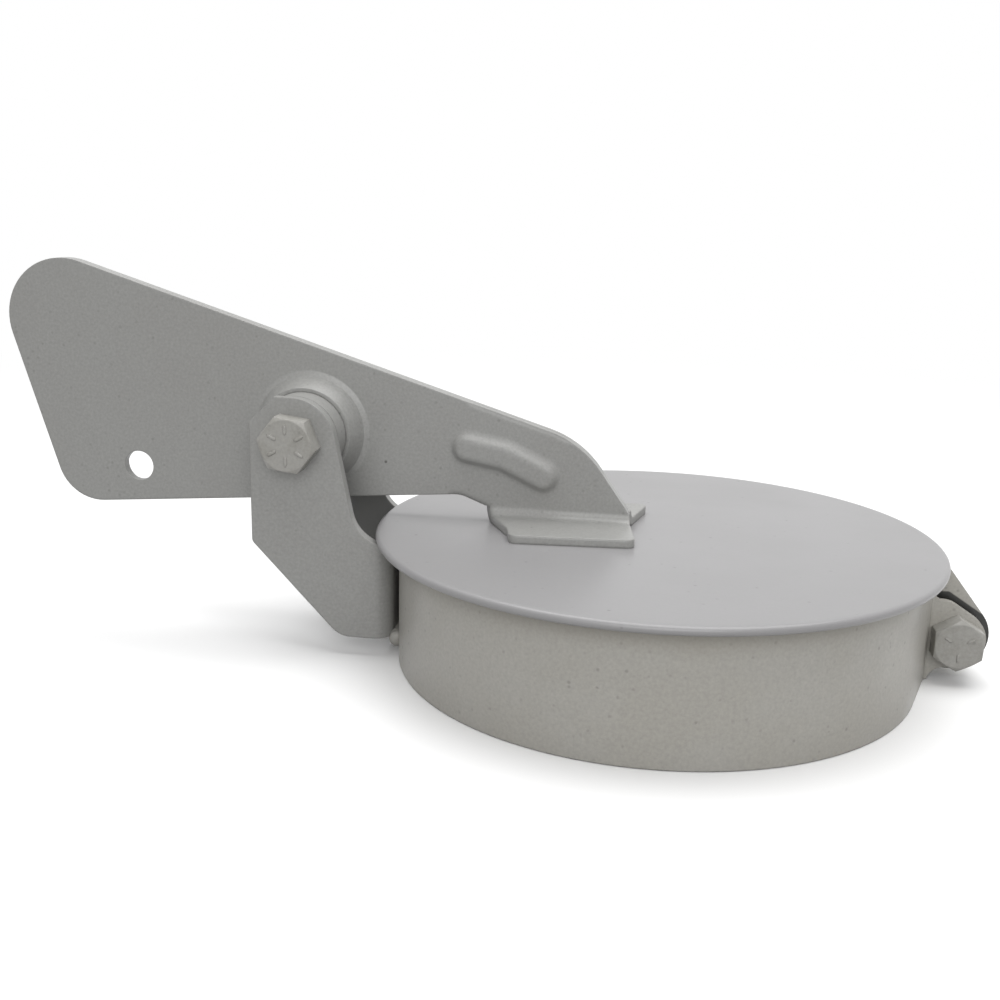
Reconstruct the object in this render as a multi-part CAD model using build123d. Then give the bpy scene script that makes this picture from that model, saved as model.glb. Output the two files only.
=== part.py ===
from build123d import *
import math
import os

# Flue rain cap for a vertical stack pipe.
# Frame, in millimetres: the origin is the centre of the collar's bottom edge and +Z runs up the
# stack. The hinge is on the -X side, the clamp on the +X side, and -Y is the near side, where
# both bolt heads are.

os.makedirs("parts", exist_ok=True)

# Stack pipe and collar band
pipe_d = 139.7
collar_slip = 0.15
band_t = 1.9
collar_h = 34.0

# Clamp ears, bent outward from the band's two ends
band_flat_angle = 18.5
clamp_gap = 2.6
ear_bend_r = 1.2
ear_root = 3.6
ear_reach = 9.9
ear_bolt_z = 11.9
near_ear_r = 8.1
near_ear_top_z = 22.9
near_ear_shoulder = 7.7
near_ear_shoulder_r = 6.0
far_ear_r = 9.9
far_ear_shoulder = 5.1
ear_relief_r = 4.5
top_relief_r = 2.0

# Clamp bolt, 5/16 in, with its lock washer and nut
clamp_bolt_d = 7.94
clamp_bolt_len = 19.05
clamp_head_flats = 12.7
clamp_head_h = 5.3
clamp_washer_d = 12.6
clamp_washer_t = 2.0
clamp_nut_h = 6.75
clamp_hex_turn = 30.0
clamp_thread_root_d = 6.2

# Lid
lid_d = 155.2
lid_shift = 0.7
lid_t = 2.3
lid_gap = 0.3
lid_top_bevel = 0.8
lid_under_bevel = 0.5

# Hinge bracket, bent to a U from one strip
bracket_t = 3.0
bracket_gap = 32.0
bracket_bend_r = 2.0
weld_root = 0.1
bracket_bottom_z = 5.5
web_top_drop = 1.5
ear_tip_r = 12.0
ear_lean = 11.5
ear_hollow_r = 10.5
heel_drop = 0.9
heel_r = 2.0
toe_reach = 14.5
toe_r = 7.0
weld_leg = 2.7
weld_top_leg = 1.2
weld_half_angle = 13.0

# Pivot
pivot_out = 27.3
pivot_z = 60.2
pivot_bolt_d = 9.52
pivot_bolt_len = 50.8
pivot_head_flats = 14.29
pivot_head_h = 5.9
pivot_washer_d = 17.3
pivot_washer_t = 2.4
pivot_nut_h = 8.33
pivot_hex_turn = -8.0
pivot_thread_root_d = 7.6
bushing_d = 12.7
hub_d = 24.0
hub_end_play = 0.4

# Clearances between round pieces, on the radius
bolt_slip = 0.08
bolt_hole_slip = 0.25
thread_slip = 0.04
running_slip = 0.05
hub_seat_slip = 0.04
weld_slip = 0.05

# Arm, two plates back to back
arm_t = 2.3
arm_top_slope = -17.2
arm_bottom_slope = 4.4
arm_end_slope = -54.4
arm_tail_slope = -73.3
arm_below_pivot = 19.2
arm_above_pivot = 23.3
arm_tail = 81.6
arm_tail_top_r = 17.0
arm_tail_bottom_r = 13.0
arm_nose_r = 28.0
arm_knee_x = -55.7
arm_knee_r = 8.0
arm_end_x = -8.2
tail_hole_d = 8.7
tail_hole_far_d = 10.8
tail_hole_x = -151.4
tail_hole_z = 47.2

# Foot flanges, bent out from the arm plates and seated on the lid
foot_bend_r = 2.5
foot_reach = 22.5
foot_skew = 4.5
foot_lean = 7.5
far_foot_reach = 20.5
far_foot_lean = 13.5
foot_left_x = -48.4
foot_cut_x = -40.4
foot_cut_y = 15.5
foot_front_x = -38.8
foot_corner_r = 2.2

# Pressed boss around the hub, and pressed bead near the foot
boss_h = 6.0
boss_top_r = 13.1
boss_base_r = 16.0
boss_blank_r = 20.0
boss_sweep = 1.2
bead_start = (-54.0, 57.6)
bead_knee = (-43.4, 55.7)
bead_end = (-32.4, 50.6)
bead_w = 8.8
bead_h = 2.0
bead_side = 1.6

# Places that follow from the sizes
collar_ri = pipe_d / 2 + collar_slip
collar_ro = collar_ri + band_t
clamp_x = collar_ro + ear_reach
clamp_face_y = clamp_gap / 2 + band_t
lid_bottom = collar_h + lid_gap
web_top_z = collar_h - web_top_drop
heel_z = web_top_z - heel_drop
lid_top = lid_bottom + lid_t
web_face_x = -collar_ro - weld_root
pivot_x = -collar_ro - pivot_out
ear_in_y = bracket_gap / 2
ear_out_y = ear_in_y + bracket_t
hub_half = ear_in_y - hub_end_play


def prism_y(face, y_from, y_to):
    """A face drawn in X and Z, made solid from y_from to y_to."""
    solid = extrude(Plane.XZ * face, amount=y_to - y_from, dir=(0, 1, 0))
    return Pos(0, y_from, 0) * solid


def rod_y(radius, y_from, y_to, x, z):
    """A round bar along Y."""
    return prism_y(Pos(x, z) * Circle(radius), y_from, y_to)


def turned_y(points, x, z):
    """A ring turned about an axis along Y, from points of radius and place along Y."""
    profile = make_face(Polyline(*points, close=True).edges())
    ring = revolve(profile, Axis.Y)
    return Pos(x, 0, z) * ring


def line_at(point, slope, x):
    """Height at x of the line through a point with a slope in degrees."""
    return point[1] + math.tan(math.radians(slope)) * (x - point[0])


def meet(point_a, slope_a, point_b, slope_b):
    """Where two lines, each given by a point and a slope in degrees, cross."""
    rise_a = math.tan(math.radians(slope_a))
    rise_b = math.tan(math.radians(slope_b))
    x = (point_b[1] - point_a[1] + rise_a * point_a[0] - rise_b * point_b[0]) / (rise_a - rise_b)
    return (x, line_at(point_a, slope_a, x))


def corner(sketch, point):
    """The vertex of a sketch that lies at a point."""
    return sketch.vertices().sort_by_distance(Vector(point[0], point[1], 0))[0]


def hex_block(flats, height, y_face, outward, x, z, turn):
    """A hex head or nut on y_face, its outer corners turned down, reaching outward by height."""
    across_corners = flats / math.cos(math.radians(30))
    drop = (across_corners - flats * 0.97) / 2 * math.tan(math.radians(30))
    y_end = y_face + outward * height
    prism = prism_y(Pos(x, z) * Rot(0, 0, turn) * RegularPolygon(across_corners / 2, 6),
                    min(y_face, y_end), max(y_face, y_end))
    envelope = turned_y([(0, y_face), (across_corners / 2 + 0.1, y_face),
                         (across_corners / 2 + 0.1, y_end - outward * (drop + 0.06)),
                         (flats * 0.97 / 2, y_end), (0, y_end)], x, z)
    return prism & envelope


def hex_bolt(shank_d, root_d, length, flats, head_h, y_face, y_nut, x, z, turn):
    """A hex bolt whose head bears on y_face; past the nut's end its thread is left at the root."""
    tip = root_d * 0.06
    y_end = y_face + length
    head = hex_block(flats, head_h, y_face, -1, x, z, turn)
    shank = turned_y([(0, y_face - head_h / 2), (shank_d / 2, y_face - head_h / 2),
                      (shank_d / 2, y_nut), (root_d / 2, y_nut), (root_d / 2, y_end - tip),
                      (root_d / 2 - tip, y_end), (0, y_end)], x, z)
    return head + shank


def hex_nut(bore_r, flats, height, y_face, x, z, turn):
    """A hex nut that bears on y_face, on the +Y side of it."""
    nut = hex_block(flats, height, y_face, 1, x, z, turn)
    return nut - rod_y(bore_r, y_face - 1, y_face + height + 1, x, z)


def lock_washer(bore_r, outer_d, thick, y_face, x, z):
    """A split ring washer on y_face, cut through at its top."""
    ring = rod_y(outer_d / 2, y_face, y_face + thick, x, z)
    ring -= rod_y(bore_r, y_face - 1, y_face + thick + 1, x, z)
    slit = Pos(x, y_face + thick / 2, z + outer_d / 2) * Rot(0, 0, 20) * Box(0.8, 3 * thick, outer_d)
    return ring - slit


def band_round(radius):
    """The band's surface in plan: a round whose ends run on straight to the clamp."""
    turn = math.radians(band_flat_angle)
    touch_x = radius * math.cos(turn)
    touch_y = radius * math.sin(turn)
    ends = Polyline((0, 0), (touch_x, -touch_y), (radius / math.cos(turn), 0), (touch_x, touch_y),
                    close=True)
    return Circle(radius) + make_face(ends.edges())


def clamp_side(ear, low, top_relief):
    """What is cut away from one band end to leave its ear."""
    root_x = collar_ro + ear_root
    reach = clamp_x + far_ear_r + 5
    outside = Rectangle(reach - root_x, collar_h + 4 * ear_relief_r)
    outside = Pos((root_x + reach) / 2, collar_h / 2) * outside
    cut = outside - ear
    cut = fillet(corner(cut, (root_x, low)), ear_relief_r)
    if top_relief:
        cut = fillet(corner(cut, (root_x, near_ear_top_z)), top_relief_r)
    return cut


def tab(ear_r, low, shoulder):
    """An ear's outline: round at the bolt, with a straight slant up to its shoulder."""
    root_x = collar_ro + ear_root
    lean = math.hypot(shoulder[0] - clamp_x, shoulder[1] - ear_bolt_z)
    turn = math.atan2(shoulder[1] - ear_bolt_z, shoulder[0] - clamp_x) - math.acos(ear_r / lean)
    touch = (clamp_x + ear_r * math.cos(turn), ear_bolt_z + ear_r * math.sin(turn))
    slant = Polyline((root_x, low), (clamp_x, low), (clamp_x, ear_bolt_z), touch, shoulder,
                     (root_x, shoulder[1]), close=True)
    return Pos(clamp_x, ear_bolt_z) * Circle(ear_r) + make_face(slant.edges())


def make_collar_band():
    """The split band with its two clamp ears."""
    reach = clamp_x + far_ear_r + 1
    turn = math.radians(band_flat_angle)
    flap = Pos(reach / 2, 0) * Rectangle(reach, 2 * clamp_face_y)
    slit = Pos(reach / 2, 0) * Rectangle(reach + 2, clamp_gap)
    section = (band_round(collar_ro) + flap) - (band_round(collar_ri) + slit)
    outer = collar_ro / math.cos(turn) - clamp_face_y * math.tan(turn)
    inner = collar_ri / math.cos(turn) - clamp_gap / 2 * math.tan(turn)
    for side in (-1, 1):
        section = fillet(corner(section, (outer, side * clamp_face_y)), ear_bend_r)
        section = fillet(corner(section, (inner, side * clamp_gap / 2)), ear_bend_r + band_t)
    band = extrude(section, amount=collar_h)

    near_low = ear_bolt_z - near_ear_r
    near_shoulder = (collar_ro + near_ear_shoulder, near_ear_top_z)
    near_ear = tab(near_ear_r, near_low, near_shoulder)
    near_ear = fillet(corner(near_ear, near_shoulder), near_ear_shoulder_r)
    band -= prism_y(clamp_side(near_ear, near_low, True), -2 * clamp_face_y, 0)

    far_low = ear_bolt_z - far_ear_r
    far_shoulder = (collar_ro + far_ear_shoulder, collar_h)
    far_ear = tab(far_ear_r, far_low, far_shoulder)
    band -= prism_y(clamp_side(far_ear, far_low, False), 0, 2 * clamp_face_y)

    hole_r = clamp_bolt_d / 2 + bolt_hole_slip
    return band - rod_y(hole_r, -2 * clamp_face_y, 2 * clamp_face_y, clamp_x, ear_bolt_z)


def make_hinge_bracket():
    """The U bracket: a web against the collar and two ears that carry the pivot."""
    back_x = pivot_x - ear_tip_r
    top_z = pivot_z + ear_tip_r
    chamfer_leg = ear_tip_r * (2 - math.sqrt(2))
    lean = math.radians(ear_lean)
    touch = (pivot_x + ear_tip_r * math.cos(lean), pivot_z + ear_tip_r * math.sin(lean))
    hollow = (touch[0] + math.tan(lean) * (touch[1] - web_top_z), web_top_z)
    toe = (web_face_x - toe_reach, bracket_bottom_z)
    outline = Polyline((back_x, heel_z), (back_x, top_z - chamfer_leg),
                       (back_x + chamfer_leg, top_z), (pivot_x, top_z), (pivot_x, pivot_z), touch,
                       hollow, (web_face_x + 1, web_top_z), (web_face_x + 1, bracket_bottom_z), toe,
                       close=True)
    side = make_face(outline.edges())
    side = fillet(corner(side, hollow), ear_hollow_r)
    side = fillet(corner(side, toe), toe_r)
    side = fillet(corner(side, (back_x, heel_z)), heel_r)
    side += Pos(pivot_x, pivot_z) * Circle(ear_tip_r)

    depth = web_face_x - back_x + 10
    outer = Pos(web_face_x - depth / 2, 0) * Rectangle(depth, 2 * ear_out_y)
    inner = Pos(web_face_x - bracket_t - depth / 2, 0) * Rectangle(depth, 2 * ear_in_y)
    for sign in (-1, 1):
        outer = fillet(corner(outer, (web_face_x, sign * ear_out_y)), bracket_bend_r + bracket_t)
        inner = fillet(corner(inner, (web_face_x - bracket_t, sign * ear_in_y)), bracket_bend_r)
    channel = extrude(outer - inner, amount=top_z + 5)
    bracket = channel & prism_y(side, -ear_out_y - 1, ear_out_y + 1)
    hole_r = pivot_bolt_d / 2 + bolt_hole_slip
    return bracket - rod_y(hole_r, -ear_out_y - 1, ear_out_y + 1, pivot_x, pivot_z)


def weld_bead(edge_z, side, leg):
    """A fillet weld round the collar, under or over the web's edge at edge_z."""
    root_r = collar_ro + weld_slip
    root = (root_r, edge_z)
    web_toe = (root_r + leg, edge_z)
    collar_toe = (root_r, edge_z + side * leg)
    profile = make_face(Polyline(root, web_toe, collar_toe, close=True).edges())
    bead = revolve(Plane.XZ * profile, Axis.Z, revolution_arc=2 * weld_half_angle)
    return Rot(0, 0, 180 - weld_half_angle) * bead


def make_bracket_welds():
    """The two beads that hold the bracket's web to the collar, one along each of its edges."""
    return Compound(children=[weld_bead(bracket_bottom_z, -1, weld_leg),
                              weld_bead(web_top_z, 1, weld_top_leg)])


def make_lid():
    """The round lid with its rim eased on both sides."""
    disc = Pos(-lid_shift, 0, lid_bottom) * extrude(Circle(lid_d / 2), amount=lid_t)
    disc = chamfer(disc.faces().sort_by(Axis.Z)[-1].edges(), lid_top_bevel)
    return chamfer(disc.faces().sort_by(Axis.Z)[0].edges(), lid_under_bevel)


def arm_outline():
    """The plate's outline in X and Z, down to where the foot's bend starts."""
    bend_z = lid_top + arm_t + foot_bend_r
    low = (pivot_x, pivot_z - arm_below_pivot / math.cos(math.radians(arm_bottom_slope)))
    high = (pivot_x, pivot_z + arm_above_pivot / math.cos(math.radians(arm_top_slope)))
    end = (arm_end_x, bend_z)
    tail = (pivot_x - arm_tail, pivot_z)
    tail_top = meet(tail, arm_tail_slope, high, arm_top_slope)
    tail_bottom = meet(tail, arm_tail_slope, low, arm_bottom_slope)
    nose = meet(high, arm_top_slope, end, arm_end_slope)
    knee = (arm_knee_x, line_at(low, arm_bottom_slope, arm_knee_x))
    outline = Polyline(tail_bottom, knee, (foot_left_x, bend_z), end, nose, tail_top, close=True)
    plate = make_face(outline.edges())
    plate = fillet(corner(plate, tail_top), arm_tail_top_r)
    plate = fillet(corner(plate, tail_bottom), arm_tail_bottom_r)
    plate = fillet(corner(plate, knee), arm_knee_r)
    return fillet(corner(plate, nose), arm_nose_r)


def make_lid_foot(reach, lean, skew):
    """The foot of a plate: the bend and the flange, from the plate's back face to -Y."""
    bend_z = lid_top + arm_t + foot_bend_r
    outer_r = arm_t + foot_bend_r
    foot_blank = 2 * reach
    turn = math.radians(45)
    outer_mid = (-outer_r + outer_r * math.cos(turn), bend_z - outer_r * math.sin(turn))
    inner_mid = (-outer_r + foot_bend_r * math.cos(turn), bend_z - foot_bend_r * math.sin(turn))
    under = ThreePointArc((0, bend_z), outer_mid, (-outer_r, lid_top))
    flange = Polyline((-outer_r, lid_top), (-foot_blank, lid_top), (-foot_blank, lid_top + arm_t),
                      (-outer_r, lid_top + arm_t))
    over = ThreePointArc((-outer_r, lid_top + arm_t), inner_mid, (-arm_t, bend_z))
    close = Line((-arm_t, bend_z), (0, bend_z))
    section = make_face([under.edge(), *flange.edges(), over.edge(), close.edge()])
    length = arm_end_x - foot_left_x + 2 * reach
    foot = extrude(Plane.YZ * section, amount=length)
    foot = Pos(foot_left_x - reach / 2, 0, 0) * foot

    side_slope = lean - 90
    near_left = (foot_front_x, -reach)
    near_right = meet((arm_end_x, 0), side_slope, near_left, skew)
    plan = make_face(Polyline((foot_left_x, 0), (foot_cut_x, -foot_cut_y), near_left, near_right,
                              (arm_end_x, 0), close=True).edges())
    plan = fillet(corner(plan, near_left), foot_corner_r)
    plan = fillet(corner(plan, near_right), foot_corner_r)
    return foot & extrude(plan, amount=bend_z + 1)


def make_boss():
    """The pressed boss: a ring of sheet that rises from the plate to the lip around the hub."""
    slope = (boss_base_r - boss_top_r) / boss_h
    wall = arm_t * math.hypot(1, slope)
    bore = hub_d / 2 + hub_seat_slip
    back_r = boss_base_r + slope * arm_t - wall
    back_top = (back_r - bore) / slope
    front = -arm_t
    lip = front - boss_h
    sweep_y = front - boss_sweep / 2
    sweep_r = boss_base_r - slope * boss_sweep / 2
    points = [(bore, lip), (boss_top_r, lip), (sweep_r, sweep_y),
              (boss_base_r + boss_sweep, front), (boss_blank_r, front), (boss_blank_r, 0),
              (back_r, 0), (bore, -back_top)]
    profile = make_face(Polyline(*points, close=True).edges())
    return Pos(pivot_x, 0, pivot_z) * revolve(profile, Axis.Y)


def bead_shape(width):
    """The pressed bead's outline: a dog-leg of one width with round ends."""
    outline = Sketch()
    for start, end in ((bead_start, bead_knee), (bead_knee, bead_end)):
        run = math.hypot(end[0] - start[0], end[1] - start[1])
        turn = math.degrees(math.atan2(end[1] - start[1], end[0] - start[0]))
        middle = Pos((start[0] + end[0]) / 2, (start[1] + end[1]) / 2)
        outline += middle * Rot(0, 0, turn) * Rectangle(run, width)
    for point in (bead_start, bead_knee, bead_end):
        outline += Pos(*point) * Circle(width / 2)
    return outline


def make_bead(width, base_y):
    """A raised dog-leg with sloping sides, from base_y towards -Y."""
    base = Pos(0, base_y, 0) * (Plane.XZ * bead_shape(width))
    crest = Pos(0, base_y - bead_h, 0) * (Plane.XZ * bead_shape(width - 2 * bead_side))
    return loft([base.face(), crest.face()])


def make_plate(hole_d, reach, lean, skew):
    """One arm plate, its back face on the plane Y = 0 and its front towards -Y."""
    plate = prism_y(arm_outline(), -arm_t, 0)
    plate -= rod_y(boss_blank_r, -arm_t - 1, 1, pivot_x, pivot_z)
    plate -= rod_y(hole_d / 2, -arm_t - 1, 1, tail_hole_x, tail_hole_z)
    plate += make_lid_foot(reach, lean, skew)
    plate += make_boss()
    plate += make_bead(bead_w, -arm_t)
    return plate - make_bead(bead_w - 2 * bead_side, 0)


def make_hub():
    """The tube through both bosses, which turns on the bushing."""
    hub = rod_y(hub_d / 2, -hub_half, hub_half, pivot_x, pivot_z)
    return hub - rod_y(bushing_d / 2 + running_slip, -hub_half - 1, hub_half + 1, pivot_x, pivot_z)


def make_bushing():
    """The sleeve on the pivot bolt, nipped between the bracket's ears."""
    sleeve = rod_y(bushing_d / 2, -ear_in_y, ear_in_y, pivot_x, pivot_z)
    return sleeve - rod_y(pivot_bolt_d / 2 + bolt_slip, -ear_out_y, ear_out_y, pivot_x, pivot_z)


clamp_nut_y = clamp_face_y + clamp_washer_t
pivot_nut_y = ear_out_y + pivot_washer_t
near_plate = make_plate(tail_hole_d, foot_reach, foot_lean, foot_skew)
far_plate = mirror(make_plate(tail_hole_far_d, far_foot_reach, far_foot_lean, 0), about=Plane.XZ)

parts = {
    "collar_band": make_collar_band(),
    "hinge_bracket": make_hinge_bracket(),
    "bracket_welds": make_bracket_welds(),
    "clamp_bolt": hex_bolt(clamp_bolt_d, clamp_thread_root_d, clamp_bolt_len, clamp_head_flats,
                           clamp_head_h, -clamp_face_y, clamp_nut_y + clamp_nut_h, clamp_x,
                           ear_bolt_z, clamp_hex_turn),
    "clamp_lock_washer": lock_washer(clamp_bolt_d / 2 + bolt_slip, clamp_washer_d, clamp_washer_t,
                                     clamp_face_y, clamp_x, ear_bolt_z),
    "clamp_nut": hex_nut(clamp_bolt_d / 2 + thread_slip, clamp_head_flats, clamp_nut_h,
                         clamp_nut_y, clamp_x, ear_bolt_z, clamp_hex_turn),
    "pivot_bolt": hex_bolt(pivot_bolt_d, pivot_thread_root_d, pivot_bolt_len, pivot_head_flats,
                           pivot_head_h, -ear_out_y, pivot_nut_y + pivot_nut_h, pivot_x, pivot_z,
                           pivot_hex_turn),
    "pivot_lock_washer": lock_washer(pivot_bolt_d / 2 + bolt_slip, pivot_washer_d, pivot_washer_t,
                                     ear_out_y, pivot_x, pivot_z),
    "pivot_nut": hex_nut(pivot_bolt_d / 2 + thread_slip, pivot_head_flats, pivot_nut_h,
                         pivot_nut_y, pivot_x, pivot_z, pivot_hex_turn),
    "pivot_bushing": make_bushing(),
    "pivot_hub": make_hub(),
    "lid_disc": make_lid(),
    "arm_near_plate": near_plate,
    "arm_far_plate": far_plate,
}

for name, solid in parts.items():
    export_step(solid, f"parts/{name}.step")
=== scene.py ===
"""A hinged rain cap for a flue: its paint, its steel, its welds and the light it stands in."""
import math

import bmesh
import bpy
from mathutils import Matrix, Vector


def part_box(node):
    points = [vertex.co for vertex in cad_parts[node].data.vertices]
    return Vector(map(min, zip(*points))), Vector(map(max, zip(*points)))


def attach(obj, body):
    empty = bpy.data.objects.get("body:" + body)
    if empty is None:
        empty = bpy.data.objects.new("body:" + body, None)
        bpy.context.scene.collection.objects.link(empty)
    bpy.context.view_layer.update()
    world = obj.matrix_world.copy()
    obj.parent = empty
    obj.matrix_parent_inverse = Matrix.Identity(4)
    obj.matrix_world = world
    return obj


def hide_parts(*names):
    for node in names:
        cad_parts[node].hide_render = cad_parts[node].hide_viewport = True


MM = 0.001

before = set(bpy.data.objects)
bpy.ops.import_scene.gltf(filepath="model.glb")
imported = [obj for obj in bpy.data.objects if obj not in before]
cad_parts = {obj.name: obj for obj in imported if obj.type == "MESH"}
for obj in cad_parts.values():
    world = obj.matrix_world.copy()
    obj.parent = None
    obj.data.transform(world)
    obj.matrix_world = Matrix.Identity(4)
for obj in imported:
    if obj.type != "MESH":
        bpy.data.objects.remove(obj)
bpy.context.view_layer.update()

# Sizes of the cap that the added pieces and the paint follow, in millimetres
collar_outer_r = 71.9
weld_z = 5.5
weld_half_angle = 13.0
web_top_z = 32.5
channel_half_width = 16.0
channel_end_x = -74.5
slit_half_width = 1.3
clamp_bolt_x = 81.8
clamp_bolt_z = 11.9
clamp_root_r = 3.1
clamp_shank_r = 3.97
clamp_pitch = 1.411
near_ear_top_z = 22.9
near_ear_r = 8.1
near_ear_slope = (0.537, 0.0, 0.843)
pivot_x = -99.2
pivot_z = 60.2
pivot_root_r = 3.8
pivot_shank_r = 4.76
pivot_pitch = 1.5875
lid_r = 77.6
lid_shift = 0.7
bead_middle = (-43.2, -2.3, 54.6)
boss_middle = (pivot_x, -2.3, pivot_z)
foot_top_z = 38.9
burst_bubble = (-77.3, -2.3, 52.4)
marks_turn = 30.0
# A darker band of painted shade on the collar, under the lid's rim, spans these
lid_shade_end_x = 74.0
lid_shade_low_z = 26.0
lid_shade_high_z = 33.5

# Colours that show in one place only, painted shade and a painted highlight among them
# Paler edges: thin paint and a painted highlight
thin_edge_and_highlight_tone = (0.335, 0.33, 0.315, 1)
# Painted shade under the lid's rim
lid_shade_tone = (0.235, 0.218, 0.182, 1)
# Near-black painted shade inside the clamp's slit
slit_shade_tone = (0.02, 0.02, 0.018, 1)
# Darker painted shade inside the bracket's channel
channel_shade_tone = (0.15, 0.15, 0.145, 1)
pit_tone = (0.05, 0.048, 0.042, 1)

# The view and the light
view_turn = 8.1
view_drop = 14.1
view_roll = 1.45
view_lens = 41.4
view_place = (-0.00012, -0.3130, 0.1221)
lit_point = (0, 0, 0.03)
room_light = 0.48


# Help with node trees


def new_group(name, kind, inputs, outputs):
    """A node group with named sockets; each input is a name, a socket type and a value."""
    tree = bpy.data.node_groups.new(name, kind)
    for label, socket, value in inputs:
        made = tree.interface.new_socket(name=label, in_out="INPUT", socket_type=socket)
        if value is not None:
            made.default_value = value
    for label, socket in outputs:
        tree.interface.new_socket(name=label, in_out="OUTPUT", socket_type=socket)
    return tree


def add(tree, kind, **settings):
    """A node with its properties set, such as operation or data_type."""
    node = tree.nodes.new(kind)
    for key, value in settings.items():
        setattr(node, key, value)
    return node


def feed(tree, node, values):
    """Links or sets a node's inputs by name or number."""
    for key, value in values.items():
        if isinstance(value, bpy.types.NodeSocket):
            tree.links.new(value, node.inputs[key])
        else:
            node.inputs[key].default_value = value
    return node


def math_node(tree, operation, a, b=0.0, clamp=False):
    """Arithmetic on one or two values, kept to 0 to 1 where clamp is set."""
    node = add(tree, "ShaderNodeMath", operation=operation, use_clamp=clamp)
    return feed(tree, node, {0: a, 1: b}).outputs[0]


def blend_colours(tree, share, low, high):
    """The low colour, turned into the high one by share."""
    node = add(tree, "ShaderNodeMix", data_type="RGBA")
    feed(tree, node, {0: share, 6: low, 7: high})
    return node.outputs[2]


def spread(tree, value, low, high, to_low=0.0, to_high=1.0):
    """Maps a value's range low to high onto another, softly, and stops at its ends."""
    node = add(tree, "ShaderNodeMapRange", interpolation_type="SMOOTHSTEP")
    feed(tree, node, {0: value, 1: low, 2: high, 3: to_low, 4: to_high})
    return node.outputs[0]


def noise(tree, place, scale, detail=2.0, rough=0.5):
    """Soft random clouds, scale of them to a metre."""
    node = add(tree, "ShaderNodeTexNoise")
    feed(tree, node, {"Vector": place, "Scale": scale, "Detail": detail, "Roughness": rough})
    return node.outputs[0]


def paint_grain_group():
    """Sprayed and baked paint: soft mottling, fine dark flecks with pits, and orange peel."""
    tree = new_group("sprayed paint grain", "ShaderNodeTree", [
        ("Paint", "NodeSocketColor", (0.28, 0.28, 0.27, 1)),
        ("Shade", "NodeSocketColor", (0.25, 0.245, 0.235, 1)),
        ("Fleck", "NodeSocketColor", (0.12, 0.118, 0.11, 1)),
        ("Fleck Share", "NodeSocketFloat", 0.10),
        ("Fleck Scale", "NodeSocketFloat", 620.0),
        ("Pit Depth", "NodeSocketFloat", 0.3),
        ("Dust", "NodeSocketFloat", 0.19),
        ("Mottle Scale", "NodeSocketFloat", 28.0),
        ("Mottle", "NodeSocketFloat", 0.35),
        ("Peel Scale", "NodeSocketFloat", 420.0),
        ("Gloss Low", "NodeSocketFloat", 0.30),
        ("Gloss High", "NodeSocketFloat", 0.40)], [
        ("Color", "NodeSocketColor"), ("Roughness", "NodeSocketFloat"),
        ("Height", "NodeSocketFloat")])
    given = add(tree, "NodeGroupInput").outputs
    place = add(tree, "ShaderNodeTexCoord").outputs["Object"]
    dust_scale = 1250.0
    fine_scale = 1700.0
    fine_share = 0.12

    broad = noise(tree, place, given["Mottle Scale"], 4.0, 0.55)
    mottle = math_node(tree, "MULTIPLY", spread(tree, broad, 0.35, 0.68), given["Mottle"])
    tone = blend_colours(tree, mottle, given["Paint"], given["Shade"])

    cells = add(tree, "ShaderNodeTexVoronoi", feature="F1")
    feed(tree, cells, {"Vector": place, "Scale": given["Fleck Scale"]})
    pick = add(tree, "ShaderNodeSeparateColor")
    feed(tree, pick, {0: cells.outputs["Color"]})
    limit = math_node(tree, "SUBTRACT", 1.0, given["Fleck Share"])
    chosen = math_node(tree, "GREATER_THAN", pick.outputs[0], limit)
    core = spread(tree, cells.outputs["Distance"], 0.08, 0.40, 1.0, 0.0)
    fleck = math_node(tree, "MULTIPLY", chosen, core)
    strength = spread(tree, pick.outputs[1], 0.0, 1.0, 0.05, 0.42)
    colour = blend_colours(tree, math_node(tree, "MULTIPLY", fleck, strength), tone,
                           given["Fleck"])

    dust = noise(tree, place, dust_scale, 2.0, 0.6)
    dusty = add(tree, "ShaderNodeMix", data_type="RGBA", blend_type="OVERLAY")
    feed(tree, dusty, {0: given["Dust"], 6: colour, 7: dust})

    peel = noise(tree, place, given["Peel Scale"], 1.5, 0.4)
    pits = math_node(tree, "MULTIPLY", fleck, given["Pit Depth"])
    height = math_node(tree, "SUBTRACT", peel, pits)
    fine = math_node(tree, "MULTIPLY", noise(tree, place, fine_scale, 1.0), fine_share)
    height = math_node(tree, "ADD", height, fine)
    gloss = spread(tree, noise(tree, place, given["Mottle Scale"], 3.0), 0.3, 0.7,
                   given["Gloss Low"], given["Gloss High"])
    gloss = math_node(tree, "ADD", gloss, math_node(tree, "MULTIPLY", fleck, 0.1), True)
    feed(tree, add(tree, "NodeGroupOutput"), {
        "Color": dusty.outputs[2], "Roughness": gloss, "Height": height})
    return tree


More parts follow.
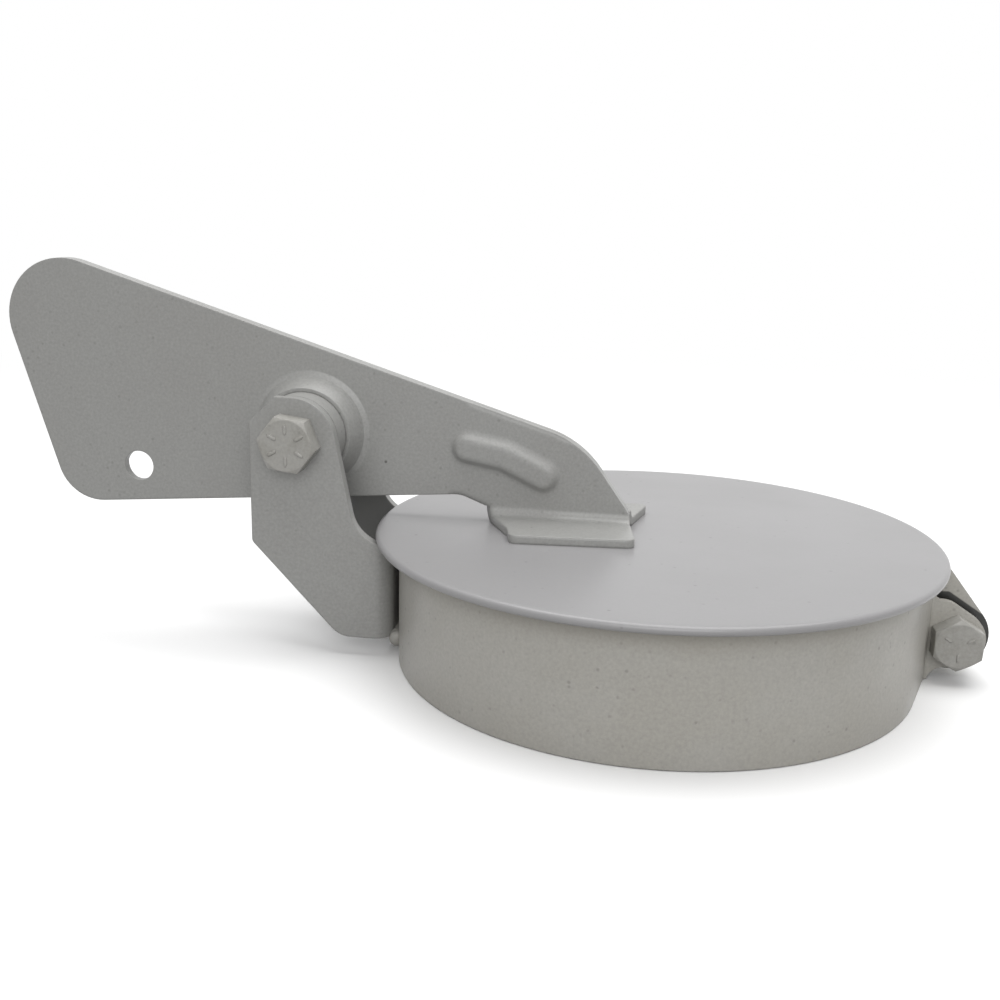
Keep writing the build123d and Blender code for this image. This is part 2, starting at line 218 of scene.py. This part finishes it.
def plated_steel_group():
    """Dull plated steel: a cloudy film, drawn streaks, small dents and darker stains."""
    tree = new_group("dull plated steel", "ShaderNodeTree", [
        ("Steel", "NodeSocketColor", (0.34, 0.33, 0.29, 1)),
        ("Stain", "NodeSocketColor", (0.20, 0.19, 0.165, 1)),
        ("Cloud Scale", "NodeSocketFloat", 260.0),
        ("Stain Share", "NodeSocketFloat", 0.5),
        ("Streak Scale", "NodeSocketFloat", 900.0),
        ("Gloss Low", "NodeSocketFloat", 0.30),
        ("Gloss High", "NodeSocketFloat", 0.52)], [
        ("Color", "NodeSocketColor"), ("Roughness", "NodeSocketFloat"),
        ("Height", "NodeSocketFloat"), ("Bare", "NodeSocketFloat")])
    given = add(tree, "NodeGroupInput").outputs
    place = add(tree, "ShaderNodeTexCoord").outputs["Object"]

    cloud = noise(tree, place, given["Cloud Scale"], 4.0, 0.6)
    stain = math_node(tree, "MULTIPLY", spread(tree, cloud, 0.40, 0.72), given["Stain Share"])
    stretch = add(tree, "ShaderNodeMapping")
    feed(tree, stretch, {"Vector": place, "Scale": (1.0, 0.12, 1.0)})
    streak = noise(tree, stretch.outputs[0], given["Streak Scale"], 2.0, 0.5)
    colour = blend_colours(tree, stain, given["Steel"], given["Stain"])
    streaked = add(tree, "ShaderNodeMix", data_type="RGBA", blend_type="OVERLAY")
    feed(tree, streaked, {0: 0.25, 6: colour, 7: streak})
    gloss = spread(tree, cloud, 0.3, 0.7, given["Gloss Low"], given["Gloss High"])
    height = math_node(tree, "ADD", math_node(tree, "MULTIPLY", cloud, 0.7),
                       math_node(tree, "MULTIPLY", streak, 0.3))
    bare = spread(tree, cloud, 0.32, 0.66, 0.95, 0.6)
    feed(tree, add(tree, "NodeGroupOutput"), {
        "Color": streaked.outputs[2], "Roughness": gloss, "Height": height, "Bare": bare})
    return tree


def soft_edge_group():
    """Where paint has filled out a sharp edge: its rounded normal, and a mask along the edge."""
    tree = new_group("soft painted edge", "ShaderNodeTree", [
        ("Radius", "NodeSocketFloat", 0.0005)], [
        ("Normal", "NodeSocketVector"), ("Edge", "NodeSocketFloat")])
    given = add(tree, "NodeGroupInput").outputs
    rounded = feed(tree, add(tree, "ShaderNodeBevel", samples=8), {"Radius": given["Radius"]})
    shape = add(tree, "ShaderNodeNewGeometry")
    along = feed(tree, add(tree, "ShaderNodeVectorMath", operation="DOT_PRODUCT"), {
        0: rounded.outputs[0], 1: shape.outputs["Normal"]})
    edge_cosine = 0.72
    face_cosine = 0.985
    edge = spread(tree, along.outputs["Value"], edge_cosine, face_cosine, 1.0, 0.0)
    feed(tree, add(tree, "NodeGroupOutput"), {"Normal": rounded.outputs[0], "Edge": edge})
    return tree


# The paints and the steels

paint_grain = paint_grain_group()
plated_steel = plated_steel_group()
soft_edge = soft_edge_group()


def near_point(tree, place, point, inner, outer):
    """One within inner millimetres of a point, and nothing past outer."""
    away = add(tree, "ShaderNodeVectorMath", operation="DISTANCE")
    feed(tree, away, {0: place, 1: tuple(value * MM for value in point)})
    return spread(tree, away.outputs["Value"], inner * MM, outer * MM, 1.0, 0.0)


def rises(tree, value, low, high, top=1.0):
    """Nothing under low millimetres, and top from high on."""
    return spread(tree, value, low * MM, high * MM, 0.0, top)


def falls(tree, value, low, high, top=1.0):
    """Top up to low millimetres, and nothing from high on."""
    return spread(tree, value, low * MM, high * MM, top, 0.0)


def collar_painted_shade(tree, place, colour):
    """Painted shade: a darker band along the band's top edge under the lid's rim, and near-black
    faces inside the clamp's slit, up to just over the near ear."""
    at = feed(tree, add(tree, "ShaderNodeSeparateXYZ"), {0: place}).outputs
    # Painted shade: a darker band under the lid's rim
    ring = falls(tree, at["X"], lid_shade_end_x, lid_shade_end_x + 2, 0.55)
    under_lid_shade = math_node(tree, "MULTIPLY", ring, rises(tree, at["Z"], lid_shade_low_z, lid_shade_high_z))
    colour = blend_colours(tree, under_lid_shade, colour, lid_shade_tone)
    # Painted shade: near-black faces inside the clamp's slit
    side = math_node(tree, "ABSOLUTE", at["Y"])
    inside = falls(tree, side, slit_half_width + 0.04, slit_half_width + 0.12)
    past_band = rises(tree, at["X"], collar_outer_r + 0.5, collar_outer_r + 1.0)
    under_top = falls(tree, at["Z"], near_ear_top_z + 1.1, near_ear_top_z + 1.5)
    along = feed(tree, add(tree, "ShaderNodeVectorMath", operation="DOT_PRODUCT"), {
        0: place, 1: near_ear_slope}).outputs["Value"]
    bolt = near_ear_slope[0] * clamp_bolt_x + near_ear_slope[2] * clamp_bolt_z
    under_slope = falls(tree, along, bolt + near_ear_r + 1.1, bolt + near_ear_r + 1.5)
    slit = math_node(tree, "MULTIPLY", math_node(tree, "MULTIPLY", inside, past_band),
                     math_node(tree, "MULTIPLY", under_top, under_slope))
    return blend_colours(tree, slit, colour, slit_shade_tone)


def bracket_painted_shade(tree, place, colour):
    """Painted shade: darker colour on the faces inside the bracket's channel."""
    at = feed(tree, add(tree, "ShaderNodeSeparateXYZ"), {0: place}).outputs
    side = math_node(tree, "ABSOLUTE", at["Y"])
    inside = falls(tree, side, channel_half_width + 0.03, channel_half_width + 0.1, 0.8)
    ahead = falls(tree, at["X"], channel_end_x, channel_end_x + 0.2)
    return blend_colours(tree, math_node(tree, "MULTIPLY", inside, ahead), colour, channel_shade_tone)


def arm_rounds(tree, place, edges, pale, edge_r):
    """Wider rounds on the pressed bead and on the feet, and no pale edge line (thin paint and
    painted highlight) on pressed forms.
    """
    bead = near_point(tree, place, bead_middle, inner=17, outer=20)
    boss = near_point(tree, place, boss_middle, inner=19, outer=21)
    at = feed(tree, add(tree, "ShaderNodeSeparateXYZ"), {0: place}).outputs
    foot = falls(tree, at["Z"], foot_top_z, foot_top_z + 1)
    bead_extra_r = 1.7
    foot_extra_r = 0.5
    wide = math_node(tree, "ADD", math_node(tree, "MULTIPLY", bead, bead_extra_r * MM),
                     math_node(tree, "MULTIPLY", foot, foot_extra_r * MM))
    feed(tree, edges, {"Radius": math_node(tree, "ADD", wide, edge_r * MM)})
    plain = math_node(tree, "SUBTRACT", 1.0, math_node(tree, "MAXIMUM", bead, boss))
    return math_node(tree, "MULTIPLY", pale, plain)


def painted(name, grain, bump_height, edge_r=0.5, pressed=False, pit=None, shade_marks=None):
    """A grey paint, paler where it rounds an edge: thin paint there, and a painted highlight.
    Pressed is for the arm plates; pit is a place where a bubble in the paint broke; the last
    argument adds the piece's own painted shade, in recesses and under the lid's rim. Sizes are in
    millimetres."""
    material = bpy.data.materials.new(name)
    material.use_nodes = True
    tree = material.node_tree
    group = feed(tree, add(tree, "ShaderNodeGroup", node_tree=paint_grain), grain)
    colour = group.outputs["Color"]
    height = group.outputs["Height"]
    place = add(tree, "ShaderNodeTexCoord").outputs["Object"]
    edges = feed(tree, add(tree, "ShaderNodeGroup", node_tree=soft_edge), {"Radius": edge_r * MM})
    # Paler along edges: thin paint and a painted highlight
    thin_edge_and_highlight_share = 0.5
    pale = math_node(tree, "MULTIPLY", edges.outputs["Edge"], thin_edge_and_highlight_share)
    if pressed:
        pale = arm_rounds(tree, place, edges, pale, edge_r)
    colour = blend_colours(tree, pale, colour, thin_edge_and_highlight_tone)
    # The piece's own painted shade
    if shade_marks:
        colour = shade_marks(tree, place, colour)
    if pit:
        hole = near_point(tree, place, pit, inner=0.2, outer=0.55)
        dark_share = 0.75
        depth = 2.5
        colour = blend_colours(tree, math_node(tree, "MULTIPLY", hole, dark_share), colour,
                               pit_tone)
        height = math_node(tree, "SUBTRACT", height, math_node(tree, "MULTIPLY", hole, depth))
    bump = feed(tree, add(tree, "ShaderNodeBump"), {
        "Height": height, "Strength": 1.0, "Distance": bump_height * MM,
        "Normal": edges.outputs["Normal"]})
    feed(tree, tree.nodes["Principled BSDF"], {
        "Base Color": colour, "Roughness": group.outputs["Roughness"], "Normal": bump.outputs[0]})
    return material


def plated(name, grain, bump_height):
    """A plated or plain steel; bump_height is in millimetres."""
    material = bpy.data.materials.new(name)
    material.use_nodes = True
    tree = material.node_tree
    group = feed(tree, add(tree, "ShaderNodeGroup", node_tree=plated_steel), grain)
    bump = feed(tree, add(tree, "ShaderNodeBump"), {
        "Height": group.outputs["Height"], "Strength": 1.0, "Distance": bump_height * MM})
    feed(tree, tree.nodes["Principled BSDF"], {
        "Base Color": group.outputs["Color"], "Roughness": group.outputs["Roughness"],
        "Metallic": group.outputs["Bare"], "Normal": bump.outputs[0]})
    return material


arm_paint = painted("arm grey paint", {}, 0.016, 0.55, pressed=True, pit=burst_bubble)
lid_paint = painted("lid gloss paint", {
    "Paint": (0.268, 0.264, 0.268, 1), "Shade": (0.26, 0.256, 0.257, 1), "Fleck Share": 0.03,
    "Dust": 0.04, "Gloss Low": 0.285, "Gloss High": 0.34, "Pit Depth": 0.0}, 0.006, 0.1)
# The collar and bracket paints carry painted shade in their recesses and under the lid's rim
collar_paint = painted("collar cream grey paint", {
    "Paint": (0.372, 0.361, 0.332, 1), "Shade": (0.345, 0.331, 0.296, 1), "Mottle Scale": 45.0,
    "Mottle": 0.6, "Fleck Share": 0.14}, 0.014, 0.45, shade_marks=collar_painted_shade)
bracket_paint = painted("bracket grey paint", {}, 0.016, 0.6, shade_marks=bracket_painted_shade)
weld_paint = painted("painted weld", {
    "Paint": (0.30, 0.29, 0.265, 1), "Peel Scale": 700.0, "Gloss High": 0.45}, 0.030, 0.3)
hub_paint = painted("hub grey paint", {}, 0.016, 0.4)
bolt_paint = painted("bolt grey paint", {
    "Paint": (0.315, 0.308, 0.288, 1), "Shade": (0.265, 0.258, 0.235, 1), "Mottle Scale": 220.0,
    "Mottle": 0.8, "Peel Scale": 900.0, "Gloss Low": 0.34, "Gloss High": 0.50}, 0.035, 0.5)
bolt_steel = plated("bolt plated steel", {}, 0.05)
washer_steel = plated("washer plated steel", {
    "Steel": (0.38, 0.37, 0.34, 1), "Gloss Low": 0.26, "Gloss High": 0.44}, 0.03)
bushing_steel = plated("bushing drawn steel", {
    "Steel": (0.42, 0.42, 0.42, 1), "Stain": (0.26, 0.25, 0.24, 1), "Stain Share": 0.3,
    "Gloss Low": 0.22, "Gloss High": 0.34}, 0.01)

finish_of = {
    "collar_band": collar_paint, "hinge_bracket": bracket_paint, "bracket_welds": weld_paint,
    "clamp_bolt": bolt_paint, "clamp_lock_washer": washer_steel, "clamp_nut": bolt_steel,
    "pivot_bolt": bolt_paint, "pivot_lock_washer": washer_steel, "pivot_nut": bolt_steel,
    "pivot_bushing": bushing_steel, "pivot_hub": hub_paint, "lid_disc": lid_paint,
    "arm_near_plate": arm_paint, "arm_far_plate": arm_paint}
for node, finish in finish_of.items():
    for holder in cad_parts[node].material_slots:
        holder.material = finish


# The lid, and pieces that repeat or follow a path


def make_lid():
    """The lid as one round plate with a fully rounded rim."""
    low_corner, high_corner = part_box("lid_disc")
    round_r = (high_corner.z - low_corner.z) / 2
    middle_z = (high_corner.z + low_corner.z) / 2
    rim_r = lid_r * MM - round_r
    flat_shares = (0.5, 0.985)
    rim_steps = 14
    around = 240
    profile = [(rim_r * share, high_corner.z) for share in flat_shares]
    for step in range(rim_steps + 1):
        turn = math.pi * (0.5 - step / rim_steps)
        profile.append((rim_r + round_r * math.cos(turn), middle_z + round_r * math.sin(turn)))
    profile += [(rim_r * share, low_corner.z) for share in reversed(flat_shares)]
    work = bmesh.new()
    rings = []
    for radius, z in profile:
        ring = []
        for step in range(around):
            turn = 2 * math.pi * step / around
            ring.append(work.verts.new((radius * math.cos(turn) - lid_shift * MM,
                                        radius * math.sin(turn), z)))
        rings.append(ring)
    for ring, next_ring in zip(rings, rings[1:]):
        for step in range(around):
            after = (step + 1) % around
            work.faces.new((ring[step], next_ring[step], next_ring[after], ring[after]))
    work.faces.new(rings[0])
    work.faces.new(list(reversed(rings[-1])))
    bmesh.ops.recalc_face_normals(work, faces=work.faces)
    for face in work.faces:
        face.smooth = True
    mesh = bpy.data.meshes.new("lid_painted")
    work.to_mesh(mesh)
    work.free()
    mesh.materials.append(lid_paint)
    lid = bpy.data.objects.new("lid_painted", mesh)
    bpy.context.scene.collection.objects.link(lid)
    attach(lid, "flap")
    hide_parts("lid_disc")


make_lid()


def grown(name, tree, values):
    """Runs a geometry tree once with its inputs set, and keeps the result as a plain mesh."""
    seed = bpy.data.objects.new(name + " seed", bpy.data.meshes.new(name + " seed"))
    bpy.context.scene.collection.objects.link(seed)
    growth = seed.modifiers.new("growth", "NODES")
    growth.node_group = tree
    for item in tree.interface.items_tree:
        if item.in_out == "INPUT" and item.name in values:
            growth[item.identifier] = values[item.name]
    bpy.context.view_layer.update()
    graph = bpy.context.evaluated_depsgraph_get()
    mesh = bpy.data.meshes.new_from_object(seed.evaluated_get(graph), depsgraph=graph)
    bpy.data.objects.remove(seed)
    mesh.name = name
    piece = bpy.data.objects.new(name, mesh)
    bpy.context.scene.collection.objects.link(piece)
    return piece


def head_marks_tree():
    """Raised bars set round a bolt head, each a bar with round ends and a round back."""
    tree = new_group("raised head marks", "GeometryNodeTree", [
        ("Count", "NodeSocketInt", 6), ("Inner Radius", "NodeSocketFloat", 0.0028),
        ("Outer Radius", "NodeSocketFloat", 0.0054), ("Half Width", "NodeSocketFloat", 0.0005),
        ("Height", "NodeSocketFloat", 0.00025), ("Turn", "NodeSocketFloat", 0.0),
        ("Centre", "NodeSocketVector", (0, 0, 0)), ("Material", "NodeSocketMaterial", None)], [
        ("Marks", "NodeSocketGeometry")])
    given = add(tree, "NodeGroupInput").outputs
    points = feed(tree, add(tree, "GeometryNodeMeshLine"), {"Count": given["Count"],
                                                            "Offset": (0, 0, 0)})
    begin = feed(tree, add(tree, "ShaderNodeCombineXYZ"), {0: given["Inner Radius"]})
    end = feed(tree, add(tree, "ShaderNodeCombineXYZ"), {0: given["Outer Radius"]})
    line = feed(tree, add(tree, "GeometryNodeCurvePrimitiveLine"), {
        "Start": begin.outputs[0], "End": end.outputs[0]})
    line = feed(tree, add(tree, "GeometryNodeResampleCurve"), {
        "Curve": line.outputs[0], "Count": 9})
    along = add(tree, "GeometryNodeSplineParameter").outputs["Factor"]
    tip_length = 0.16
    tip_width = 0.35
    from_end = feed(tree, add(tree, "ShaderNodeMath", operation="PINGPONG"), {0: along, 1: 0.5})
    swell = spread(tree, from_end.outputs[0], 0.0, tip_length, tip_width, 1.0)
    ring = feed(tree, add(tree, "GeometryNodeCurvePrimitiveCircle"), {
        "Resolution": 10, "Radius": given["Half Width"]})
    bar = feed(tree, add(tree, "GeometryNodeCurveToMesh"), {
        "Curve": line.outputs[0], "Profile Curve": ring.outputs[0], "Scale": swell,
        "Fill Caps": True})
    squash = math_node(tree, "DIVIDE", given["Height"], given["Half Width"])
    flat = feed(tree, add(tree, "ShaderNodeCombineXYZ"), {0: 1.0, 1: 1.0, 2: squash})
    bar = feed(tree, add(tree, "GeometryNodeTransform"), {
        "Geometry": bar.outputs[0], "Scale": flat.outputs[0]})
    index = add(tree, "GeometryNodeInputIndex").outputs[0]
    step = math_node(tree, "DIVIDE", 2 * math.pi, given["Count"])
    turn = math_node(tree, "ADD", math_node(tree, "MULTIPLY", index, step), given["Turn"])
    turned = feed(tree, add(tree, "ShaderNodeCombineXYZ"), {2: turn})
    spot = feed(tree, add(tree, "GeometryNodeInstanceOnPoints"), {
        "Points": points.outputs[0], "Instance": bar.outputs[0], "Rotation": turned.outputs[0]})
    real = feed(tree, add(tree, "GeometryNodeRealizeInstances"), {0: spot.outputs[0]})
    up = feed(tree, add(tree, "GeometryNodeTransform"), {
        "Geometry": real.outputs[0], "Rotation": (math.pi / 2, 0, 0),
        "Translation": given["Centre"]})
    shown = feed(tree, add(tree, "GeometryNodeSetMaterial"), {
        "Geometry": up.outputs[0], "Material": given["Material"]})
    feed(tree, add(tree, "NodeGroupOutput"), {0: shown.outputs[0]})
    return tree


def weld_tree():
    """A welded bead: flattened drops laid one over the next along an arc round the collar."""
    tree = new_group("welded bead", "GeometryNodeTree", [
        ("Ripples", "NodeSocketInt", 30), ("Radius", "NodeSocketFloat", 0.0724),
        ("Z", "NodeSocketFloat", 0.005), ("Half Angle", "NodeSocketFloat", 0.2),
        ("Drop Size", "NodeSocketFloat", 0.0022), ("Length Share", "NodeSocketFloat", 0.7),
        ("Unevenness", "NodeSocketFloat", 0.06), ("Seed", "NodeSocketInt", 5),
        ("Material", "NodeSocketMaterial", None)], [("Bead", "NodeSocketGeometry")])
    given = add(tree, "NodeGroupInput").outputs
    points = feed(tree, add(tree, "GeometryNodeMeshLine"), {"Count": given["Ripples"],
                                                            "Offset": (0, 0, 0)})
    index = add(tree, "GeometryNodeInputIndex").outputs[0]
    last = math_node(tree, "SUBTRACT", given["Ripples"], 1.0)
    share = math_node(tree, "DIVIDE", index, last)
    sweep = math_node(tree, "MULTIPLY", math_node(tree, "SUBTRACT", share, 0.5),
                      math_node(tree, "MULTIPLY", given["Half Angle"], 2.0))
    angle = math_node(tree, "ADD", sweep, math.pi)
    uneven = feed(tree, add(tree, "FunctionNodeRandomValue", data_type="FLOAT"), {
        2: -1.0, 3: 1.0, "ID": index, "Seed": given["Seed"]})
    wander = math_node(tree, "MULTIPLY", uneven.outputs[1], given["Unevenness"])
    reach = math_node(tree, "MULTIPLY", given["Drop Size"], wander)
    radius = math_node(tree, "ADD", given["Radius"], math_node(tree, "MULTIPLY", reach, 0.5))
    x = math_node(tree, "MULTIPLY", radius, math_node(tree, "COSINE", angle))
    y = math_node(tree, "MULTIPLY", radius, math_node(tree, "SINE", angle))
    z = math_node(tree, "ADD", given["Z"], reach)
    place = feed(tree, add(tree, "ShaderNodeCombineXYZ"), {0: x, 1: y, 2: z})
    points = feed(tree, add(tree, "GeometryNodeSetPosition"), {
        "Geometry": points.outputs[0], "Position": place.outputs[0]})
    drop = feed(tree, add(tree, "GeometryNodeMeshIcoSphere"), {
        "Radius": given["Drop Size"], "Subdivisions": 4})
    thin = feed(tree, add(tree, "ShaderNodeCombineXYZ"), {
        0: 1.0, 1: given["Length Share"], 2: 1.0})
    drop = feed(tree, add(tree, "GeometryNodeTransform"), {
        "Geometry": drop.outputs[0], "Scale": thin.outputs[0]})
    turned = feed(tree, add(tree, "ShaderNodeCombineXYZ"), {2: angle})
    grow = math_node(tree, "ADD", 1.0, wander)
    spot = feed(tree, add(tree, "GeometryNodeInstanceOnPoints"), {
        "Points": points.outputs[0], "Instance": drop.outputs[0],
        "Rotation": turned.outputs[0], "Scale": grow})
    real = feed(tree, add(tree, "GeometryNodeRealizeInstances"), {0: spot.outputs[0]})
    soft = feed(tree, add(tree, "GeometryNodeSetShadeSmooth"), {
        "Geometry": real.outputs[0]})
    shown = feed(tree, add(tree, "GeometryNodeSetMaterial"), {
        "Geometry": soft.outputs[0], "Material": given["Material"]})
    feed(tree, add(tree, "NodeGroupOutput"), {0: shown.outputs[0]})
    return tree


def thread_tree():
    """The thread that shows past a nut: a V ridge wound on the bolt's root."""
    tree = new_group("bolt thread", "GeometryNodeTree", [
        ("Root Radius", "NodeSocketFloat", 0.0038), ("Crest Radius", "NodeSocketFloat", 0.0047),
        ("Pitch", "NodeSocketFloat", 0.0015875), ("Turns", "NodeSocketFloat", 1.5),
        ("Start", "NodeSocketVector", (0, 0, 0)), ("Material", "NodeSocketMaterial", None)], [
        ("Thread", "NodeSocketGeometry")])
    given = add(tree, "NodeGroupInput").outputs
    rise = math_node(tree, "MULTIPLY", given["Pitch"], given["Turns"])
    depth = math_node(tree, "SUBTRACT", given["Crest Radius"], given["Root Radius"])
    ridge_rise = 0.3
    ridge_size = 0.72
    middle = math_node(tree, "ADD", given["Root Radius"],
                       math_node(tree, "MULTIPLY", depth, ridge_rise))
    helix = feed(tree, add(tree, "GeometryNodeCurveSpiral"), {
        "Resolution": 48, "Rotations": given["Turns"], "Start Radius": middle,
        "End Radius": middle, "Height": rise})
    along = add(tree, "GeometryNodeSplineParameter").outputs["Factor"]
    fade_length = 0.08
    end_size = 0.15
    from_end = feed(tree, add(tree, "ShaderNodeMath", operation="PINGPONG"), {0: along, 1: 0.5})
    fade = spread(tree, from_end.outputs[0], 0.0, fade_length, end_size, 1.0)
    ridge = feed(tree, add(tree, "GeometryNodeCurvePrimitiveCircle"), {
        "Resolution": 3, "Radius": math_node(tree, "MULTIPLY", depth, ridge_size)})
    helix = feed(tree, add(tree, "GeometryNodeSetCurveNormal", mode="Z_UP"), {
        "Curve": helix.outputs[0]})
    wound = feed(tree, add(tree, "GeometryNodeCurveToMesh"), {
        "Curve": helix.outputs[0], "Profile Curve": ridge.outputs[0], "Scale": fade,
        "Fill Caps": True})
    laid = feed(tree, add(tree, "GeometryNodeTransform"), {
        "Geometry": wound.outputs[0], "Rotation": (-math.pi / 2, 0, 0),
        "Translation": given["Start"]})
    real = feed(tree, add(tree, "GeometryNodeRealizeInstances"), {0: laid.outputs[0]})
    shown = feed(tree, add(tree, "GeometryNodeSetMaterial"), {
        "Geometry": real.outputs[0], "Material": given["Material"]})
    feed(tree, add(tree, "NodeGroupOutput"), {0: shown.outputs[0]})
    return tree


marks_tree = head_marks_tree()
pivot_marks = grown("pivot_bolt_marks", marks_tree, {
    "Inner Radius": 2.9 * MM, "Outer Radius": 5.7 * MM, "Half Width": 0.55 * MM,
    "Height": 0.22 * MM, "Turn": math.radians(marks_turn), "Material": bolt_paint,
    "Centre": (pivot_x * MM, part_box("pivot_bolt")[0].y, pivot_z * MM)})
clamp_marks = grown("clamp_bolt_marks", marks_tree, {
    "Count": 3, "Inner Radius": 2.2 * MM, "Outer Radius": 4.6 * MM, "Half Width": 0.4 * MM,
    "Height": 0.25 * MM, "Turn": math.radians(marks_turn), "Material": bolt_paint,
    "Centre": (clamp_bolt_x * MM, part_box("clamp_bolt")[0].y, clamp_bolt_z * MM)})

threads_tree = thread_tree()
thread_overlap = 0.1
pivot_thread_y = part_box("pivot_nut")[1].y - thread_overlap * MM
clamp_thread_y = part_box("clamp_nut")[1].y - thread_overlap * MM
pivot_thread = grown("pivot_bolt_thread", threads_tree, {
    "Root Radius": pivot_root_r * MM, "Crest Radius": pivot_shank_r * MM,
    "Pitch": pivot_pitch * MM, "Turns": 1.2, "Material": bolt_steel,
    "Start": (pivot_x * MM, pivot_thread_y, pivot_z * MM)})
clamp_thread = grown("clamp_bolt_thread", threads_tree, {
    "Root Radius": clamp_root_r * MM, "Crest Radius": clamp_shank_r * MM,
    "Pitch": clamp_pitch * MM, "Turns": 2.0, "Material": bolt_steel,
    "Start": (clamp_bolt_x * MM, clamp_thread_y, clamp_bolt_z * MM)})

bead_tree = weld_tree()
lower_bead = grown("rippled_weld", bead_tree, {
    "Ripples": 27, "Radius": (collar_outer_r + 0.45) * MM, "Z": (weld_z - 0.4) * MM,
    "Half Angle": math.radians(weld_half_angle), "Drop Size": 2.25 * MM,
    "Material": weld_paint})
upper_bead = grown("top_weld", bead_tree, {
    "Ripples": 40, "Radius": (collar_outer_r + 0.2) * MM, "Z": (web_top_z + 0.1) * MM,
    "Half Angle": math.radians(weld_half_angle), "Drop Size": 1.05 * MM, "Seed": 11,
    "Material": weld_paint})

for piece, slot in ((pivot_marks, "bolt_paint"), (clamp_marks, "bolt_paint"),
                    (pivot_thread, "bolt_steel"), (clamp_thread, "bolt_steel"),
                    (lower_bead, "grey_paint"), (upper_bead, "grey_paint")):
    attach(piece, "base")
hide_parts("bracket_welds")


# Floor, light and camera


def seen_ray(tree):
    """1 for rays that show the surroundings: to the camera, in a reflection or through glass."""
    path = add(tree, "ShaderNodeLightPath").outputs
    shiny = math_node(tree, "MAXIMUM", path["Is Glossy Ray"], path["Is Transmission Ray"])
    return math_node(tree, "MAXIMUM", path["Is Camera Ray"], shiny)


def make_floor():
    """A pale floor that fades to white far from the cap."""
    half = 6.0
    level = -0.0002
    fade_start = 0.16
    fade_end = 0.75
    mesh = bpy.data.meshes.new("floor")
    mesh.from_pydata([(-half, -half, level), (half, -half, level), (half, half, level),
                      (-half, half, level)], [], [(0, 1, 2, 3)])
    floor = bpy.data.objects.new("floor", mesh)
    bpy.context.scene.collection.objects.link(floor)
    material = bpy.data.materials.new("pale floor")
    material.use_nodes = True
    tree = material.node_tree
    shader = tree.nodes["Principled BSDF"]
    bounced = add(tree, "ShaderNodeLightPath").outputs["Is Diffuse Ray"]
    colour = blend_colours(tree, bounced, (0.93, 0.93, 0.93, 1), (0.34, 0.34, 0.34, 1))
    feed(tree, shader, {"Base Color": colour, "Roughness": 0.9, "Specular IOR Level": 0.0})
    glow = feed(tree, add(tree, "ShaderNodeEmission"), {"Color": (1, 1, 1, 1), "Strength": 1.0})
    place = add(tree, "ShaderNodeTexCoord").outputs["Object"]
    far = add(tree, "ShaderNodeVectorMath", operation="LENGTH")
    feed(tree, far, {0: place})
    share = math_node(tree, "MULTIPLY", spread(tree, far.outputs["Value"], fade_start, fade_end),
                      seen_ray(tree))
    mixed = feed(tree, add(tree, "ShaderNodeMixShader"), {
        0: share, 1: shader.outputs[0], 2: glow.outputs[0]})
    tree.links.new(mixed.outputs[0], tree.nodes["Material Output"].inputs["Surface"])
    mesh.materials.append(material)


def make_world():
    """Even light from all round, and white where it is seen."""
    world = bpy.data.worlds.new("white room")
    bpy.context.scene.world = world
    world.use_nodes = True
    tree = world.node_tree
    lit = feed(tree, tree.nodes["Background"], {"Color": (1, 1, 1, 1), "Strength": room_light})
    white = feed(tree, add(tree, "ShaderNodeBackground"), {"Color": (1, 1, 1, 1),
                                                           "Strength": 1.0})
    mixed = feed(tree, add(tree, "ShaderNodeMixShader"), {
        0: seen_ray(tree), 1: lit.outputs[0], 2: white.outputs[0]})
    tree.links.new(mixed.outputs[0], tree.nodes["World Output"].inputs["Surface"])


def make_softbox(name, place, width, depth, power):
    """A rectangular lamp that faces the cap."""
    lamp = bpy.data.lights.new(name, "AREA")
    lamp.shape = "RECTANGLE"
    lamp.size = width
    lamp.size_y = depth
    lamp.energy = power
    holder = bpy.data.objects.new(name, lamp)
    aim = (Vector(place) - Vector(lit_point)).to_track_quat("Z", "Y")
    holder.matrix_world = Matrix.Translation(place) @ aim.to_matrix().to_4x4()
    bpy.context.scene.collection.objects.link(holder)


def make_camera():
    """The photograph's view: low, from the front, a little to the clamp's side."""
    turn = math.radians(view_turn)
    drop = math.radians(view_drop)
    roll = math.radians(view_roll)
    ahead = Vector((-math.sin(turn) * math.cos(drop), math.cos(turn) * math.cos(drop),
                    -math.sin(drop)))
    level = Vector((math.cos(turn), math.sin(turn), 0))
    over = level.cross(ahead)
    right = level * math.cos(roll) + over * math.sin(roll)
    up = over * math.cos(roll) - level * math.sin(roll)
    lens = bpy.data.cameras.new("camera")
    lens.sensor_width = 36.0
    lens.lens = view_lens
    lens.clip_start = 0.01
    holder = bpy.data.objects.new("camera", lens)
    turned = Matrix((right, up, -ahead)).transposed().to_4x4()
    holder.matrix_world = Matrix.Translation(view_place) @ turned
    bpy.context.scene.collection.objects.link(holder)
    bpy.context.scene.camera = holder


make_floor()
make_world()
make_softbox("overhead softbox", place=(0.05, 0.1, 1.1), width=1.3, depth=1.0, power=13.1)
make_softbox("front softbox", place=(0.12, -1.15, 0.55), width=0.9, depth=0.8, power=6.8)
make_camera()
bpy.context.scene.view_settings.view_transform = "Standard"
